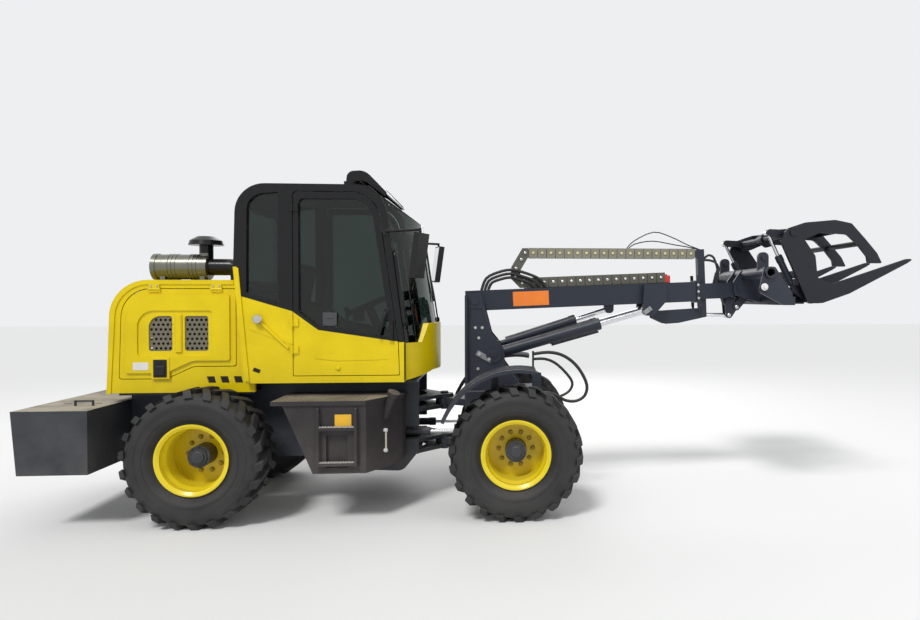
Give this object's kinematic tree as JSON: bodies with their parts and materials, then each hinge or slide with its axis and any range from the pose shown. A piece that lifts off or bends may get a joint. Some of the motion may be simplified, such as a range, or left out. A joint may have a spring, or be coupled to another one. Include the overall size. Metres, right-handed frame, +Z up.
{
  "type": "telescopic_wheel_loader",
  "caption": "Articulated wheel loader with a telescopic boom, wide clamping grapple on the head, closed cab, rear engine hood and block counterweight",
  "frame": {"origin": "on the ground under the middle of the machine", "axes": "+X forwards to the grapple, +Y to the driver's left, +Z up"},
  "size_m": [7.035, 1.96, 2.7964],
  "materials": {
    "yellow": "gloss enamel",
    "slate": "satin enamel",
    "black": "satin",
    "seat_cover": "woven",
    "engine_grey": "painted casting",
    "canister": "ribbed, satin",
    "glass": "tinted, clear",
    "tyre": "dusty",
    "chrome": "hard chrome",
    "rubber": "braided, matt",
    "chain": "dusty"
  },
  "bodies": {
    "rear_frame": {"rear_chassis": "slate", "counterweight": "slate", "rear_axle": "slate", "engine_block": "engine_grey", "hood_shell": "yellow", "rear_grille": "black", "cab_tub": "yellow", "cab_frame": "black", "cab_glass": "glass", "roof_visor": "black", "seat": "seat_cover", "steering_console": "black", "mirrors": "black", "step_boxes": "slate", "air_cleaner": "canister"},
    "front_frame": {"front_frame": "slate", "front_axle": "slate", "fenders": "slate", "front_hoses": "rubber"},
    "outer_boom": {"outer_boom": "slate", "chain_lower": "chain", "boom_hoses": "rubber"},
    "inner_boom": {"inner_boom": "slate", "chain_upper": "chain", "head_hoses": "rubber"},
    "grapple": {"carriage": "slate", "grapple_fork": "slate"},
    "jaw": {"grapple_jaw": "slate"},
    "lift_rods": {"lift_rods": "chrome"},
    "lift_barrels": {"lift_barrels": "slate"},
    "level_rod": {"level_rod": "chrome"},
    "level_barrel": {"level_barrel": "slate"},
    "tilt_lever": {"tilt_lever": "slate"},
    "tilt_link": {"tilt_link": "slate"},
    "tilt_barrel": {"tilt_barrel": "slate"},
    "tilt_rod": {"tilt_rod": "chrome"},
    "clamp_barrels": {"clamp_barrels": "slate"},
    "clamp_rods": {"clamp_rods": "chrome"},
    "wheel_front_right": {"tyre_front_right": "tyre", "rim_front_right": "yellow"},
    "wheel_front_left": {"tyre_front_left": "tyre", "rim_front_left": "yellow"},
    "wheel_rear_right": {"tyre_rear_right": "tyre", "rim_rear_right": "yellow"},
    "wheel_rear_left": {"tyre_rear_left": "tyre", "rim_rear_left": "yellow"},
    "cab_door_right": {"cab_door_right": "yellow", "door_glass_right": "glass"},
    "hood_door_right": {"hood_door_right": "yellow", "hood_mesh_right": "black"},
    "steer_barrel_right": {"steer_barrel_right": "slate"},
    "steer_rod_right": {"steer_rod_right": "chrome"},
    "cab_door_left": {"cab_door_left": "yellow", "door_glass_left": "glass"},
    "hood_door_left": {"hood_door_left": "yellow", "hood_mesh_left": "black"},
    "steer_barrel_left": {"steer_barrel_left": "slate"},
    "steer_rod_left": {"steer_rod_left": "chrome"}
  },
  "joints": [
    {"name": "rear_right_wheel_spin", "type": "hinge", "parent": "rear_frame", "child": "wheel_rear_right", "pos_m": [-2.2525, -0.78, 0.525], "axis": [0, 1, 0], "continuous": true},
    {"name": "rear_left_wheel_spin", "type": "hinge", "parent": "rear_frame", "child": "wheel_rear_left", "pos_m": [-2.2525, 0.78, 0.525], "axis": [0, 1, 0], "continuous": true},
    {"name": "front_right_wheel_spin", "type": "hinge", "parent": "front_frame", "child": "wheel_front_right", "pos_m": [0.1875, -0.78, 0.525], "axis": [0, 1, 0], "continuous": true},
    {"name": "front_left_wheel_spin", "type": "hinge", "parent": "front_frame", "child": "wheel_front_left", "pos_m": [0.1875, 0.78, 0.525], "axis": [0, 1, 0], "continuous": true},
    {"name": "steering", "type": "hinge", "parent": "rear_frame", "child": "front_frame", "pos_m": [-0.4425, 0, 0.6], "axis": [0, 0, 1], "range_deg": [-30, 30]},
    {"name": "cab_door_right_swing", "type": "hinge", "parent": "rear_frame", "child": "cab_door_right", "pos_m": [-1.6025, -0.618, 1.5], "axis": [0, 0, -1], "range_deg": [0, 165]},
    {"name": "cab_door_left_swing", "type": "hinge", "parent": "rear_frame", "child": "cab_door_left", "pos_m": [-1.6025, 0.618, 1.5], "axis": [0, 0, 1], "range_deg": [0, 165]},
    {"name": "hood_door_right_lift", "type": "hinge", "parent": "rear_frame", "child": "hood_door_right", "pos_m": [-2.5125, -0.557, 1.822], "axis": [1, 0, 0], "range_deg": [-75, 0]},
    {"name": "hood_door_left_lift", "type": "hinge", "parent": "rear_frame", "child": "hood_door_left", "pos_m": [-2.5125, 0.557, 1.822], "axis": [-1, 0, 0], "range_deg": [-75, 0]},
    {"name": "boom_lift", "type": "hinge", "parent": "front_frame", "child": "outer_boom", "pos_m": [-0.1625, 0, 1.726], "axis": [0, -1, 0], "range_deg": [-34, 45]},
    {"name": "boom_extend", "type": "slide", "parent": "outer_boom", "child": "inner_boom", "axis": [0.9992, 0, 0.0412], "range_m": [0, 1.2]},
    {"name": "grapple_tilt", "type": "hinge", "parent": "inner_boom", "child": "grapple", "pos_m": [2.2418, 0, 1.8411], "axis": [0, 1, 0], "range_deg": [-10, 60]},
    {"name": "grapple_clamp", "type": "hinge", "parent": "grapple", "child": "jaw", "pos_m": [2.4875, 0, 2.29], "axis": [0, -1, 0], "range_deg": [0, 60]},
    {"name": "lift_rod_swing", "type": "hinge", "parent": "outer_boom", "child": "lift_rods", "pos_m": [1.37246, 0, 1.63713], "axis": [0, -1, 0], "range_deg": [-1.58, 1.76]},
    {"name": "lift_barrel_stroke", "type": "slide", "parent": "lift_rods", "child": "lift_barrels", "axis": [0.9631, 0, 0.2692], "range_m": [-0.3781, 0.28812]},
    {"name": "level_rod_swing", "type": "hinge", "parent": "outer_boom", "child": "level_rod", "pos_m": [1.04767, 0, 1.64977], "axis": [0, -1, 0], "range_deg": [-3.04, 3.7]},
    {"name": "level_barrel_stroke", "type": "slide", "parent": "level_rod", "child": "level_barrel", "axis": [0.9539, 0, 0.3001], "range_m": [-0.32761, 0.24997]},
    {"name": "tilt_lever_swing", "type": "hinge", "parent": "inner_boom", "child": "tilt_lever", "pos_m": [2.14803, 0, 1.71213], "axis": [0, -1, 0], "range_deg": [-68.44, 12.24]},
    {"name": "tilt_link_swing", "type": "hinge", "parent": "grapple", "child": "tilt_link", "pos_m": [2.3218, 0, 1.7811], "axis": [0, -1, 0], "range_deg": [-11.39, 63.34]},
    {"name": "tilt_barrel_swing", "type": "hinge", "parent": "inner_boom", "child": "tilt_barrel", "pos_m": [1.4871, 0, 1.59982], "axis": [0, -1, 0], "range_deg": [-1.86, 6.16]},
    {"name": "tilt_rod_stroke", "type": "slide", "parent": "tilt_barrel", "child": "tilt_rod", "axis": [1, 0, -0.01], "range_m": [-0.1303, 0.03005]},
    {"name": "clamp_barrel_swing", "type": "hinge", "parent": "grapple", "child": "clamp_barrels", "pos_m": [2.5375, 0, 1.835], "axis": [0, -1, 0], "range_deg": [-1, 2.68]},
    {"name": "clamp_rod_stroke", "type": "slide", "parent": "clamp_barrels", "child": "clamp_rods", "axis": [-0.4356, 0, 0.9002], "range_m": [-0.18532, 0.01]},
    {"name": "steer_barrel_right_swing", "type": "hinge", "parent": "rear_frame", "child": "steer_barrel_right", "pos_m": [-0.9425, -0.25, 0.6], "axis": [0, 0, 1], "range_deg": [-6.64, 6.64]},
    {"name": "steer_rod_right_stroke", "type": "slide", "parent": "steer_barrel_right", "child": "steer_rod_right", "axis": [1, 0, 0], "range_m": [-0.13777, 0.13777]},
    {"name": "steer_barrel_left_swing", "type": "hinge", "parent": "rear_frame", "child": "steer_barrel_left", "pos_m": [-0.9425, 0.25, 0.6], "axis": [0, 0, 1], "range_deg": [-6.64, 6.64]},
    {"name": "steer_rod_left_stroke", "type": "slide", "parent": "steer_barrel_left", "child": "steer_rod_left", "axis": [1, 0, 0], "range_m": [-0.13777, 0.13777]}
  ],
  "couplings": [
    {"joint": "lift_rod_swing", "follows": "boom_lift", "ratio": 0.017},
    {"joint": "lift_barrel_stroke", "follows": "boom_lift", "m_per_rad": -0.46868},
    {"joint": "level_rod_swing", "follows": "boom_lift", "ratio": 0.06},
    {"joint": "level_barrel_stroke", "follows": "boom_lift", "m_per_rad": -0.40439},
    {"joint": "tilt_lever_swing", "follows": "grapple_tilt", "ratio": -1.124},
    {"joint": "tilt_link_swing", "follows": "grapple_tilt", "ratio": 1.039},
    {"joint": "tilt_barrel_swing", "follows": "grapple_tilt", "ratio": 0.086},
    {"joint": "tilt_rod_stroke", "follows": "grapple_tilt", "m_per_rad": -0.11488},
    {"joint": "clamp_barrel_swing", "follows": "grapple_clamp", "ratio": 0.028},
    {"joint": "clamp_rod_stroke", "follows": "grapple_clamp", "m_per_rad": -0.16742},
    {"joint": "steer_barrel_right_swing", "follows": "steering", "ratio": 0.188},
    {"joint": "steer_rod_right_stroke", "follows": "steering", "m_per_rad": 0.24402},
    {"joint": "steer_barrel_left_swing", "follows": "steering", "ratio": 0.188},
    {"joint": "steer_rod_left_stroke", "follows": "steering", "m_per_rad": -0.24402}
  ]
}
